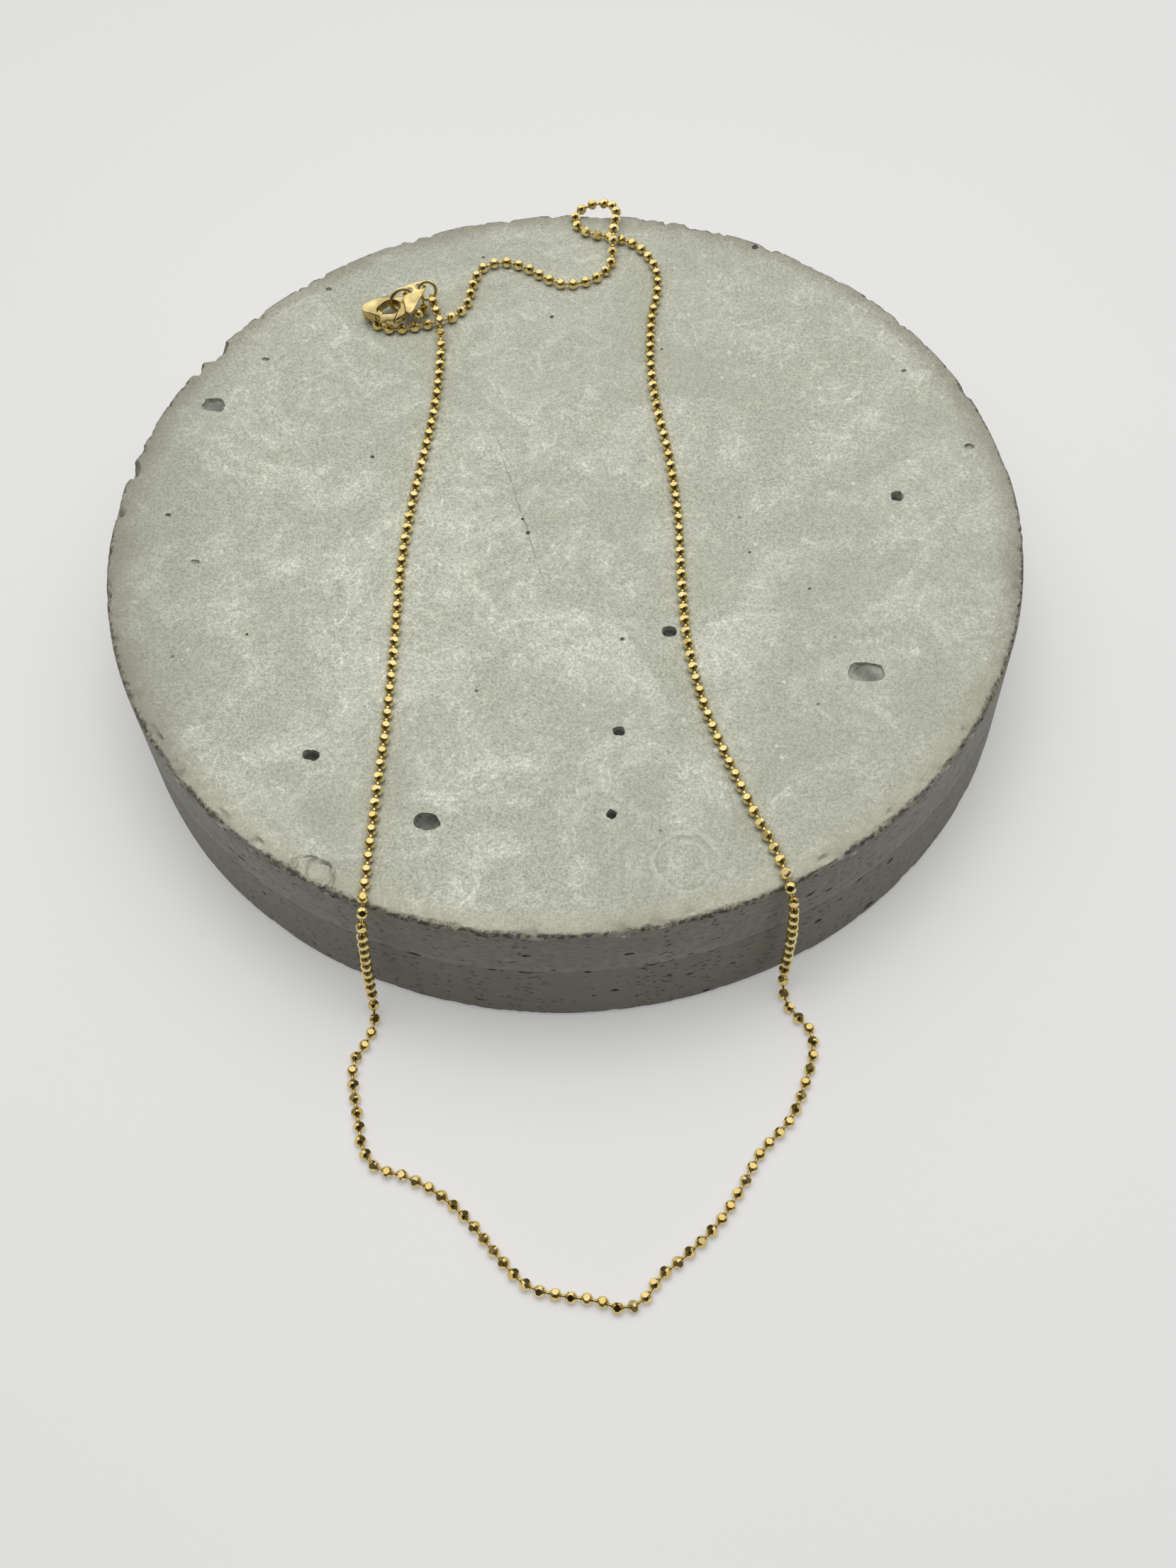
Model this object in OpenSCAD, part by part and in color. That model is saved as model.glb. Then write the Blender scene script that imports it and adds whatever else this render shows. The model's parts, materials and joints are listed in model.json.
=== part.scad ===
// Ball chain necklace lying over a round display slab, its front loop on the floor.
// Origin: centre of the slab's underside, +Z up, front of the necklace towards -Y.

/* [Display slab] */
// Diameter of the round slab
slab_d = 120; // [110:1:135]
// Thickness of the slab
slab_h = 21.5; // [18:0.5:26]
// Radius of the slab's worn rims
slab_rim_r = 0.8; // [0.4:0.1:1.5]

/* [Chain] */
// Diameter of one bead
bead_d = 1.5; // [1.2:0.05:1.6]
// Distance between the flats cut round a bead
bead_flat_w = 1.24; // [1.1:0.02:1.4]
// Length of a bead between the flats at its two ends
bead_len = 1.36; // [1.2:0.02:1.44]
// Distance from bead to bead along the chain
bead_pitch = 1.83; // [1.78:0.01:2.2]
// Radius of a bead's drilled hole at its middle
hole_mid_r = 0.25; // [0.22:0.01:0.3]
// Radius of the flared hole at a bead's end
hole_end_r = 0.43; // [0.4:0.01:0.46]
// Diameter of the wire that the beads sit on
wire_d = 0.34; // [0.26:0.02:0.38]
// Radius of the wire's end loops, at the middle of the wire
end_loop_r = 0.66; // [0.6:0.02:0.7]
// Space left between the chain and what it lies on
lie_gap = 0.08; // [0.04:0.02:0.2]

/* [Clasp] */
// Radius of the clasp's round hook end
claw_r = 2.55; // [2.4:0.05:2.8]
// Radius of the clasp's eye end
claw_end_r = 1; // [0.9:0.05:1.2]
// Distance between the centres of the two ends
claw_len = 3.2; // [3:0.1:3.8]
// Thickness of the clasp's body
claw_h = 1.5; // [1.3:0.1:1.6]
// Radius of the round opening inside the hook
jaw_r = 1.3; // [1.25:0.05:1.4]
// Radius of the narrow end of that opening, along the lever
jaw_end_r = 0.7; // [0.6:0.05:0.8]
// Outer radius of the clasp's eye
eye_r = 0.95; // [0.85:0.05:1.1]
// Radius of the hole in the clasp's eye
eye_hole_r = 0.5; // [0.45:0.05:0.55]
// Thickness of the clasp's eye
eye_h = 0.5; // [0.4:0.05:0.6]
// Reach of the lever from its rivet to its tip
lever_reach = 3.15; // [3:0.05:3.3]
// Height of the lever outside the body's slot
lever_h = 1.3; // [1:0.1:1.4]
// Height of the lever's flat root in the slot
lever_root_h = 0.7; // [0.5:0.05:0.8]
// Radius of the lever's rivet
rivet_r = 0.22; // [0.18:0.02:0.3]
// Running clearance round the lever
lever_gap = 0.08; // [0.05:0.01:0.12]

/* [Rings and tag] */
// Radius of the end ring, at the middle of its wire
end_ring_r = 1.68; // [1.64:0.02:1.74]
// Diameter of the end ring's wire
end_ring_wire_d = 0.55; // [0.45:0.05:0.6]
// Radius of the jump ring, at the middle of its wire
jump_ring_r = 1.25; // [1.2:0.05:1.35]
// Diameter of the jump ring's wire
jump_ring_wire_d = 0.5; // [0.4:0.05:0.55]
// Distance between the tag plate's two holes
tag_span = 1.5; // [1.45:0.05:1.7]
// Radius of the tag plate's ends round its holes
tag_broad_r = 1.05; // [0.95:0.05:1.15]
// Radius of the tag plate's narrow tip
tag_narrow_r = 0.5; // [0.4:0.05:0.6]
// Length of the tag plate from its holes to its tip
tag_len = 3.9; // [3:0.1:4.2]
// Thickness of the tag plate
tag_h = 0.26; // [0.2:0.02:0.3]
// Radius of the holes in the tag plate
tag_hole_r = 0.56; // [0.5:0.02:0.6]

/* [Hidden] */

slab_r = slab_d / 2;
bead_r = bead_d / 2;
wire_r = wire_d / 2;
gold = [0.86, 0.72, 0.40];
stone = [0.66, 0.67, 0.63];

// Columns of the route: across and back as shares of the slab's radius, height as a share
// of its thickness, and how many bead diameters the chain is lifted there
X = 0;
Y = 1;
HEIGHT = 2;
LIFT = 3;
// Route of the chain: left strand to the rim, over it, front loop on the floor, up the
// right rim, right strand, small loop at the back and the wave beyond it
chain_route = [
  [-0.268, 0.415, 1, 0],
  [-0.290, 0.280, 1, 0], [-0.320, 0.130, 1, 0], [-0.350, -0.060, 1, 0],
  [-0.367, -0.260, 1, 0], [-0.385, -0.480, 1, 0], [-0.410, -0.700, 1, 0],
  [-0.424, -0.830, 1, 0], [-0.430, -0.885, 1, 0.08], [-0.434, -0.922, 0.975, 0],
  [-0.439, -0.943, 0.870, 0], [-0.446, -0.948, 0.580, 0], [-0.452, -0.950, 0.270, 0],
  [-0.453, -0.960, 0.090, 0], [-0.454, -0.993, 0, 0.04], [-0.468, -1.032, 0, 0],
  [-0.494, -1.073, 0, 0], [-0.498, -1.120, 0, 0], [-0.487, -1.200, 0, 0],
  [-0.478, -1.262, 0, 0], [-0.448, -1.308, 0, 0], [-0.395, -1.327, 0, 0],
  [-0.325, -1.370, 0, 0], [-0.265, -1.432, 0, 0], [-0.215, -1.500, 0, 0],
  [-0.160, -1.562, 0, 0], [-0.085, -1.587, 0, 0], [-0.030, -1.598, 0, 0],
  [0.015, -1.616, 0, 0], [0.058, -1.604, 0, 0], [0.095, -1.560, 0, 0],
  [0.150, -1.520, 0, 0], [0.213, -1.465, 0, 0], [0.265, -1.397, 0, 0],
  [0.313, -1.325, 0, 0], [0.376, -1.264, 0, 0], [0.415, -1.190, 0, 0],
  [0.440, -1.120, 0, 0], [0.438, -1.072, 0, 0], [0.412, -1.036, 0, 0],
  [0.395, -1.002, 0, 0.03], [0.394, -0.966, 0.085, 0], [0.399, -0.957, 0.270, 0],
  [0.402, -0.955, 0.580, 0], [0.400, -0.950, 0.870, 0], [0.394, -0.930, 0.975, 0],
  [0.385, -0.892, 1, 0.1], [0.371, -0.840, 1, 0], [0.340, -0.755, 1, 0],
  [0.300, -0.630, 1, 0], [0.262, -0.480, 1, 0], [0.245, -0.320, 1, 0],
  [0.247, -0.160, 1, 0], [0.253, 0, 1, 0], [0.248, 0.170, 1, 0], [0.232, 0.330, 1, 0],
  [0.228, 0.462, 1, 0], [0.240, 0.597, 1, 0], [0.262, 0.700, 1, 0], [0.260, 0.780, 1, 0],
  [0.222, 0.852, 1, 0], [0.165, 0.885, 1, 0], [0.108, 0.906, 1, 0],
  [0.078, 0.950, 1, 0.02], [0.102, 0.992, 1, 0.06], [0.149, 0.995, 1, 0.42],
  [0.180, 0.952, 1, 1.05], [0.171, 0.888, 1, 1.16], [0.164, 0.838, 1, 0.50],
  [0.155, 0.788, 1, 0.06], [0.120, 0.750, 1, 0], [0.075, 0.735, 1, 0],
  [0.033, 0.737, 1, 0], [-0.005, 0.762, 1, 0], [-0.050, 0.800, 1, 0],
  [-0.100, 0.822, 1, 0], [-0.150, 0.808, 1, 0], [-0.176, 0.755, 1, 0],
  [-0.190, 0.695, 1, 0]
];
// Where the chain runs beside the clasp: across and back from the clasp, and its lift.
// The left end comes from the jump ring and crosses over the right end.
left_end_route = [
  [6.35, -1.26, 1.10], [6.75, -2.70, 1.06], [6.78, -4.00, 0.72], [6.79, -5.50, 0.25],
  [6.73, -7.44, 0.04]
];
right_end_route = [
  [8.83, -0.72, 0], [6.42, -1.62, 0], [4.14, -2.16, 0], [1.14, -2.52, 0],
  [-0.66, -2.34, 0]
];
// Points worked out along each stretch of the route
curve_steps = 8;

function unit(v) = v / norm(v);
function backwards(list) = [for (i = [len(list) - 1:-1:0]) list[i]];

// Direction of a list of points at point k
function heading(points, k) =
  unit(points[min(k + 1, len(points) - 1)] - points[max(k - 1, 0)]);

// Frame of the clasp: the middle of its hook end, at the slab's top
clasp_at = [-0.369 * slab_r, 0.664 * slab_r, slab_h];
// Height of the middle of the chain where it lies on the slab
lie_z = bead_r + lie_gap;
// Height of the clasp's underside over the slab: it lies on the chain's last beads
claw_z = bead_d + lie_gap + 0.1;
claw_top = claw_z + claw_h;
claw_mid = claw_z + claw_h / 2;
claw_fn = 64;

// Rivet of the lever in the clasp's frame
rivet_at = [-2.3, -0.7];
lever_root_r = 0.55;
slot_r = lever_root_r + lever_gap;
// Where the body's cheeks end and the lever's full height begins
cheek_x = rivet_at[0] + lever_root_r;
thumb_r = 0.4;
thumb_at = [-1.1, -2.35];
jaw_at = [0, -0.25];
jaw_end_at = [-1.35, -0.8];
// Middle of the side of the eye that the chain's right end holds
eye_side_at = [-claw_len + (eye_r + eye_hole_r) / 2, 0, lie_z];

// The end ring stands round the hook, turned and leaning back
end_ring_at = [1.5, 1.35, claw_mid + 0.05];
end_ring_turn = 25;
end_ring_lean = 15;
// The tag plate lies over the hook, one hole round the end ring, one round the jump ring
tag_z = claw_top + 0.1;
tag_mid = tag_z + tag_h / 2;
// Angle up the end ring's wire to where it passes the tag plate
tag_climb = asin((tag_mid - end_ring_at[2]) / (end_ring_r * cos(end_ring_lean)));
tag_hole_at = end_ring_at + end_ring_r * [
  cos(tag_climb) * cos(end_ring_turn)
    - sin(tag_climb) * sin(end_ring_lean) * sin(end_ring_turn),
  cos(tag_climb) * sin(end_ring_turn)
    + sin(tag_climb) * sin(end_ring_lean) * cos(end_ring_turn),
  sin(tag_climb) * cos(end_ring_lean)
];
tag_far_hole_at = tag_hole_at + tag_span * [cos(end_ring_turn), sin(end_ring_turn), 0];
tag_tip_at = tag_hole_at + tag_len * [0, -1, 0];

// The jump ring hangs from the tag plate's far hole, leaning back
jump_ring_lean = 60;
jump_ring_hang = 152;
function on_jump_ring(a) = jump_ring_r * [
  cos(a), sin(a) * cos(jump_ring_lean), sin(a) * sin(jump_ring_lean)
];
jump_ring_at = tag_far_hole_at - on_jump_ring(jump_ring_hang);

// Straight stretch of wire between the last bead's middle and its end loop
stub = 1.4;
loop_steps = 9;
loop_sweep = 280;

// Wire's end loop: straight on from a bead, then round towards the side it curls to
function end_loop(from, along, side) = [
  for (k = [0:1:loop_steps])
    let (a = k * loop_sweep / loop_steps)
    from + along * (stub + end_loop_r * sin(a)) + side * end_loop_r * (1 - cos(a))
];

// Bead from which an end loop reaches round a point
function bead_before(point, along, side) = point - along * stub - side * end_loop_r;

// The left end's loop curls down round the jump ring, the right end's lies flat in the eye
left_end_heading = unit([-0.2, 0.98, 0]);
left_end_side = [0, 0, -1];
right_end_heading = unit([-0.6, 0.8, 0]);
right_end_side = unit([0.8, 0.6, 0]);
left_end_bead = clasp_at
  + bead_before(jump_ring_at + on_jump_ring(-65), left_end_heading, left_end_side);
right_end_bead = clasp_at + bead_before(eye_side_at, right_end_heading, right_end_side);

// Where a row of the route puts the middle of the chain
function route_point(row) = [
  row[X] * slab_r,
  row[Y] * slab_r,
  row[HEIGHT] * slab_h + lie_z + row[LIFT] * bead_d
];
// The same for a row beside the clasp
function end_point(row) = clasp_at + [row[0], row[1], lie_z + row[2] * bead_d];

// Smooth curve through points b and c, led by their neighbours a and d
function blend(a, b, c, d, t) =
  (2 * b + (c - a) * t + (2 * a - 5 * b + 4 * c - d) * pow(t, 2)
  + (3 * b - a - 3 * c + d) * pow(t, 3)) / 2;

stops = concat(
  [left_end_bead],
  [for (row = left_end_route) end_point(row)],
  [for (row = chain_route) route_point(row)],
  [for (row = right_end_route) end_point(row)],
  [right_end_bead]
);
last_stop = len(stops) - 1;
curve = [
  for (i = [0:1:last_stop - 1])
    for (k = [0:1:curve_steps - 1])
      blend(stops[max(i - 1, 0)], stops[i], stops[i + 1], stops[min(i + 2, last_stop)],
        k / curve_steps),
  stops[last_stop]
];
last_point = len(curve) - 1;
// Length along the curve up to each of its points
run = [
  for (i = 0, s = 0; i <= last_point;
    s = s + (i < last_point ? norm(curve[i + 1] - curve[i]) : 0), i = i + 1) s
];
chain_length = run[last_point];
along_x = [for (i = [0:1:last_point]) [run[i], curve[i][0]]];
along_y = [for (i = [0:1:last_point]) [run[i], curve[i][1]]];
along_z = [for (i = [0:1:last_point]) [run[i], curve[i][2]]];
function point_at(s) = [lookup(s, along_x), lookup(s, along_y), lookup(s, along_z)];

bead_gaps = round(chain_length / bead_pitch);
bead_step = chain_length / bead_gaps;
bead_centres = [for (k = [0:1:bead_gaps]) point_at(k * bead_step)];
// The left beads end and the right beads begin at the middle of the chain
middle_bead = floor(bead_gaps / 2);

// The wire's points: an end loop, every bead's middle, the other end loop
chain_wire_points = concat(
  backwards(end_loop(bead_centres[0], left_end_heading, left_end_side)),
  bead_centres,
  end_loop(bead_centres[bead_gaps], right_end_heading, right_end_side)
);
// Number of loop points before the first bead's middle
lead = loop_steps + 1;

// Tail of beads on the jump ring, in the clasp's frame
tail_heading = [0, 1, 0];
tail_side = [0, 0, 1];
tail_first = bead_before(jump_ring_at + on_jump_ring(-120), tail_heading, tail_side);
tail_last = tail_first + bead_step * unit([-0.45, -0.85, 0.30]);
// Wire left standing out of the tail's last bead
tail_stub = 0.78;
tail_wire_points = concat(
  backwards(end_loop(tail_first, tail_heading, tail_side)),
  [tail_first, tail_last],
  [tail_last + unit(tail_last - tail_first) * tail_stub]
);

// Sides of the wire's section
wire_sides = 6;

// Vector that stands square to the path at each of its points, carried along without twist
function carried(points, start) = [
  for (i = 0, u = start; i < len(points); i = i + 1,
    u = i < len(points)
      ? unit(u - (u * heading(points, i)) * heading(points, i))
      : u) unit(u - (u * heading(points, i)) * heading(points, i))
];

// Tube swept along a list of points
module swept_wire(points, radius, start) {
  across = carried(points, start);
  rings = len(points);
  corners = [
    for (i = [0:1:rings - 1])
      for (k = [0:1:wire_sides - 1])
        let (a = k * 360 / wire_sides, h = heading(points, i))
        points[i] + radius * (cos(a) * across[i] + sin(a) * cross(h, across[i]))
  ];
  sides = [
    for (i = [0:1:rings - 2])
      for (k = [0:1:wire_sides - 1])
        let (n = (k + 1) % wire_sides, a = i * wire_sides, b = a + wire_sides)
        for (face = [[a + k, a + n, b + n], [a + k, b + n, b + k]]) face
  ];
  first_cap = [for (k = [wire_sides - 1:-1:0]) k];
  last_cap = [for (k = [0:1:wire_sides - 1]) (rings - 1) * wire_sides + k];
  polyhedron(points = corners, faces = [for (f = concat(sides, [first_cap, last_cap]))
    backwards(f)]);
}

// Places a piece at a point with its axis along a direction, spun about that axis
module aim(at, dir, spin) {
  translate(at)
    rotate([0, acos(dir[2]), atan2(dir[1], dir[0])])
      rotate([0, 0, spin])
        children();
}

// One bead: a ball with flats cut round it and at both ends, drilled with a flared hole
module bead() {
  difference() {
    intersection() {
      sphere(d = bead_d, $fn = 24);
      cube([bead_flat_w, bead_flat_w, bead_len], center = true);
    }
    rotate_extrude($fn = 24)
      polygon([[0, -bead_d], [hole_end_r, -bead_d], [hole_end_r, -bead_r],
        [hole_mid_r, -hole_mid_r / 2], [hole_mid_r, hole_mid_r / 2],
        [hole_end_r, bead_r], [hole_end_r, bead_d], [0, bead_d]]);
  }
}

// Beads on the points first to last of a wire, each turned a little further than the last
module string(points, first, last) {
  for (k = [first:1:last])
    aim(points[k], heading(points, k), k * 37)
      bead();
}

// Teardrop outline: a broad end at the origin and a narrow one along +X, joined by tangents
module teardrop(broad, narrow, length) {
  a = acos((broad - narrow) / length);
  circle(r = broad, $fn = claw_fn);
  translate([length, 0])
    circle(r = narrow, $fn = claw_fn);
  polygon([
    [broad * cos(a), broad * sin(a)], [length + narrow * cos(a), narrow * sin(a)],
    [length + narrow * cos(a), -narrow * sin(a)], [broad * cos(a), -broad * sin(a)]
  ]);
}

module claw_outline() {
  rotate([0, 0, 180])
    teardrop(claw_r, claw_end_r, claw_len);
}

module jaw_opening() {
  reach = jaw_end_at - jaw_at;
  translate(jaw_at)
    rotate([0, 0, atan2(reach[1], reach[0])])
      teardrop(jaw_r, jaw_end_r, norm(reach));
}

// The near arm of the clasp as far as a reach from the rivet, beyond a line across it
module near_arm(reach, from_x) {
  intersection() {
    difference() {
      claw_outline();
      jaw_opening();
    }
    translate(rivet_at)
      circle(r = reach, $fn = claw_fn);
    translate([from_x, -2 * claw_r])
      square([2 * claw_r, 2 * claw_r + rivet_at[1] + lever_root_r / 2]);
  }
}

module torus(ring_r, wire, fn) {
  rotate_extrude($fn = fn)
    translate([ring_r, 0])
      circle(d = wire, $fn = 24);
}

module display_slab() {
  color(stone)
    rotate_extrude($fn = 120) {
      square([slab_r - slab_rim_r, slab_h]);
      translate([0, slab_rim_r])
        square([slab_r, slab_h - 2 * slab_rim_r]);
      for (z = [slab_rim_r, slab_h - slab_rim_r])
        translate([slab_r - slab_rim_r, z])
          circle(r = slab_rim_r, $fn = 32);
    }
}

module beads_left() {
  color(gold)
    string(chain_wire_points, lead, lead + middle_bead);
}

module beads_right() {
  color(gold)
    string(chain_wire_points, lead + middle_bead + 1, lead + bead_gaps);
}

module chain_wire() {
  color(gold)
    swept_wire(chain_wire_points, wire_r, [0.78, 0.63, 0]);
}

module clasp_body() {
  color(gold)
    translate(clasp_at) {
      difference() {
        translate([0, 0, claw_z])
          linear_extrude(claw_h)
            difference() {
              claw_outline();
              jaw_opening();
              near_arm(lever_reach + lever_gap, cheek_x);
            }
        translate([rivet_at[0], rivet_at[1], claw_mid - lever_root_h / 2 - lever_gap]) {
          cylinder(r = slot_r, h = lever_root_h + 2 * lever_gap, $fn = 32);
          translate([0, -claw_r, 0])
            cube([claw_r, claw_r + slot_r, lever_root_h + 2 * lever_gap]);
        }
      }
      translate([rivet_at[0], rivet_at[1], claw_z])
        cylinder(r = rivet_r, h = claw_h, $fn = 32);
      clasp_eye();
    }
}

// Eye of the clasp, standing on edge below the end of the body
module clasp_eye() {
  translate([-claw_len, eye_h / 2, eye_r + lie_gap])
    rotate([90, 0, 0])
      difference() {
        cylinder(r = eye_r, h = eye_h, $fn = claw_fn);
        translate([0, 0, -1])
          cylinder(r = eye_hole_r, h = eye_h + 2, $fn = claw_fn);
      }
}

module clasp_lever() {
  color(gold)
    translate(clasp_at)
      difference() {
        union() {
          translate([0, 0, claw_mid - lever_h / 2])
            linear_extrude(lever_h) {
              near_arm(lever_reach, cheek_x + lever_gap);
              translate(thumb_at)
                circle(r = thumb_r, $fn = 32);
            }
          translate([rivet_at[0], rivet_at[1], claw_mid - lever_root_h / 2]) {
            cylinder(r = lever_root_r, h = lever_root_h, $fn = 32);
            rotate([0, 0, atan2(-1, 1)])
              translate([0, -lever_root_r, 0])
                cube([1.1, 2 * lever_root_r, lever_root_h]);
          }
        }
        translate([rivet_at[0], rivet_at[1], 0])
          cylinder(r = rivet_r + lever_gap, h = claw_top + 1, $fn = 32);
      }
}

module end_ring() {
  color(gold)
    translate(clasp_at)
      translate(end_ring_at)
        rotate([90 - end_ring_lean, 0, end_ring_turn])
          torus(end_ring_r, end_ring_wire_d, 64);
}

module tag_plate() {
  color(gold)
    translate(clasp_at)
      translate([0, 0, tag_z])
        linear_extrude(tag_h)
          difference() {
            hull() {
              for (p = [tag_hole_at, tag_far_hole_at])
                translate([p[0], p[1]])
                  circle(r = tag_broad_r, $fn = 40);
              translate([tag_tip_at[0], tag_tip_at[1]])
                circle(r = tag_narrow_r, $fn = 40);
            }
            for (p = [tag_hole_at, tag_far_hole_at])
              translate([p[0], p[1]])
                circle(r = tag_hole_r, $fn = 40);
          }
}

module jump_ring() {
  color(gold)
    translate(clasp_at + jump_ring_at)
      rotate([jump_ring_lean, 0, 0])
        torus(jump_ring_r, jump_ring_wire_d, 64);
}

module tail_beads() {
  color(gold)
    translate(clasp_at)
      string(tail_wire_points, lead, lead + 1);
}

module tail_wire() {
  color(gold)
    translate(clasp_at)
      swept_wire(tail_wire_points, wire_r, [1, 0, 0]);
}

display_slab();
beads_left();
beads_right();
chain_wire();
clasp_body();
clasp_lever();
end_ring();
tag_plate();
jump_ring();
tail_beads();
tail_wire();
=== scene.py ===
"""A ball chain necklace laid over a round concrete slab, dressed for rendering."""

import json
import math
import random

import bpy
import bmesh
from mathutils import Matrix, Vector, noise

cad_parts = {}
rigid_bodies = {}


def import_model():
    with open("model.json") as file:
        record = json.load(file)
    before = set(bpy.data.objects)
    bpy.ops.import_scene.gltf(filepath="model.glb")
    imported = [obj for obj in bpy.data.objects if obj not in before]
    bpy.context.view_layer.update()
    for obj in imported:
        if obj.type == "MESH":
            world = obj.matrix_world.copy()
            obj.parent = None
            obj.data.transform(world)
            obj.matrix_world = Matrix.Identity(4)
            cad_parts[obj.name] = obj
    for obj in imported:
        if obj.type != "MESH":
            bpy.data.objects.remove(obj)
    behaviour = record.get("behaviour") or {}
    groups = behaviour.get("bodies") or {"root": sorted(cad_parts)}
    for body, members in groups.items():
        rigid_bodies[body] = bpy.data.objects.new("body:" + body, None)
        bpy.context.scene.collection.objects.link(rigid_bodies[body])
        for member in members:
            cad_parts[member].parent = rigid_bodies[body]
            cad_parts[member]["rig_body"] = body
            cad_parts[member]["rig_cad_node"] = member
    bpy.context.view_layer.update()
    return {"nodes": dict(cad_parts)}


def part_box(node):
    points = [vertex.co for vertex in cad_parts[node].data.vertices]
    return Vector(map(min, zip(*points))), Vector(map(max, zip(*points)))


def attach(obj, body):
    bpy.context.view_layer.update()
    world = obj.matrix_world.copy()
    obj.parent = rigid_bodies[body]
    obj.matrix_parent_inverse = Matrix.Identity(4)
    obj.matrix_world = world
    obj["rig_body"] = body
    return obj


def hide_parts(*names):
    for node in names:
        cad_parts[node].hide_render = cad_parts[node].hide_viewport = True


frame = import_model()

bl_info = {
    "name": "Ball chain necklace on a slab",
    "version": (1, 0, 0),
    "blender": (4, 5, 0),
    "location": "3D View > Sidebar > Necklace",
    "description": "Builds the necklace, its clasp, the concrete slab and a plain studio",
    "category": "Add Mesh",
}

MM = 0.001
NECKLACE = "necklace"
LEVER = "lever"
_, SLAB_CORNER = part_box("display_slab")
SLAB_R = SLAB_CORNER.x
SLAB_TOP = SLAB_CORNER.z
RING_MIDDLE = sum(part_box("jump_ring"), Vector()) / 2

# Pits in the slab's top: across, back, radius and depth in mm, and length over width
TOP_PITS = [
    (-18.5, -43.4, 1.2, 1.5, 1.3), (-32.4, -32.9, 0.8, 1.9, 1.15), (5.3, -32.3, 0.65, 1.5, 1.1),
    (3.6, -44.0, 0.58, 1.8, 1.0), (12.6, -17.8, 0.8, 1.7, 1.1), (36.5, -25.9, 1.6, 1.0, 1.2),
    (-47.2, 25.8, 1.2, 1.0, 1.2), (44.3, 1.8, 0.78, 1.5, 1.0), (6.6, -18.5, 0.28, 1.0, 1.0),
    (0.4, 38.6, 0.28, 0.8, 1.0), (30.6, 50.1, 0.45, 1.0, 1.0), (-25.1, 14.5, 0.24, 0.7, 1.0),
    (-5.2, 2.0, 0.2, 0.6, 1.0), (-4.6, -0.4, 0.26, 0.8, 1.0), (-48.2, -1.7, 0.4, 0.5, 1.4),
    (-12.0, -25.0, 0.2, 0.5, 1.0), (24.0, -6.0, 0.2, 0.5, 1.0), (-32.2, -50.2, 2.5, 0.4, 1.2),
    (31.0, -12.5, 0.18, 0.5, 1.0), (-41.0, -14.0, 0.2, 0.5, 1.0), (48.5, 24.0, 0.3, 0.6, 1.2),
    (-31.5, 47.0, 0.35, 0.6, 1.2), (15.5, 31.0, 0.2, 0.5, 1.0), (-9.0, 51.5, 0.25, 0.5, 1.0),
    (-52.3, 6.6, 0.28, 0.7, 1.3), (-40.2, 33.9, 0.35, 0.6, 1.5), (55.2, 9.6, 0.5, 0.6, 1.2),
]
# Pits in the slab's side near the front: angle from the front in degrees, height, half
# width and half height in mm
SIDE_PITS = [
    (-20.5, 12.2, 0.65, 0.2), (4.4, 15.8, 0.55, 0.22), (-7.1, 16.5, 0.45, 0.16),
    (-11.3, 12.0, 0.4, 0.14), (-7.4, 12.0, 0.7, 0.13), (-4.3, 12.8, 0.3, 0.12),
    (-0.4, 12.1, 0.35, 0.18), (6.9, 12.0, 0.6, 0.12), (2.6, 6.4, 0.4, 0.24),
    (-13.5, 3.0, 0.45, 0.14), (6.0, 11.4, 0.3, 0.12), (11.4, 7.3, 0.4, 0.14),
    (16.7, 6.7, 0.35, 0.14), (28.0, 7.6, 0.5, 0.26), (28.9, 14.8, 0.4, 0.2),
    (33.8, 12.0, 0.4, 0.2), (36.4, 1.9, 0.75, 0.35), (30.9, 10.0, 0.35, 0.12),
    (11.5, 12.7, 0.3, 0.12), (9.0, 8.1, 0.3, 0.14), (0.1, 5.4, 0.22, 0.12),
    (5.1, 4.1, 0.2, 0.12), (13.5, 1.2, 0.35, 0.2), (26.2, 16.4, 0.5, 0.2),
    (38.9, 10.3, 0.5, 0.3),
]
# Chips out of the top rim: across, back, half length along the rim and depth, in mm
RIM_CHIPS = [
    (-57.9, 14.9, 2.2, 2.1), (-47.6, 36.3, 2.4, 2.7), (-50.3, 33.4, 1.4, 1.7),
    (-56.0, 21.7, 1.2, 1.0), (-59.3, 10.5, 1.0, 0.9), (-43.6, 41.2, 1.2, 0.9),
    (-53.6, 27.0, 0.8, 0.7), (-36.6, 47.6, 1.0, 0.7), (59.4, 8.2, 1.3, 1.1),
    (57.5, -17.4, 1.1, 1.0), (58.2, 14.6, 1.0, 0.9), (55.0, 24.0, 0.9, 0.7),
    (45.0, -40.0, 1.6, 1.0), (41.0, -44.4, 1.2, 0.9), (30.4, -52.2, 1.0, 0.7),
    (48.8, -34.8, 0.9, 0.7),
]
# How many more small pits are scattered over the rest of the side
MORE_SIDE_PITS = 46
# Marks on the slab's top in broken rings: across, back and radius in mm, strength and tone
STAIN_RINGS = [
    (11.9, -51.0, 3.8, 0.5, 1.45), (11.9, -51.0, 3.3, 0.45, 0.72), (12.3, -50.6, 2.0, 0.55, 1.45),
    (31.4, -46.3, 2.8, 0.4, 0.70), (-32.4, -50.2, 2.9, 1.0, 0.20), (-32.0, -49.6, 2.2, 0.9, 0.3),
    (-31.4, -49.0, 1.3, 0.8, 0.3),
]
# Flat sides of the slab's cylinder, and the heights in mm at which its side is cut across
# so that no face is long and thin
SLAB_SIDES = 900
SIDE_CUTS = (2.0, 5.0, 8.0, 11.0, 14.0, 17.0, 19.0, 20.2)
# Height of the casting seam round the side, in mm
SEAM = 12.1
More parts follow.
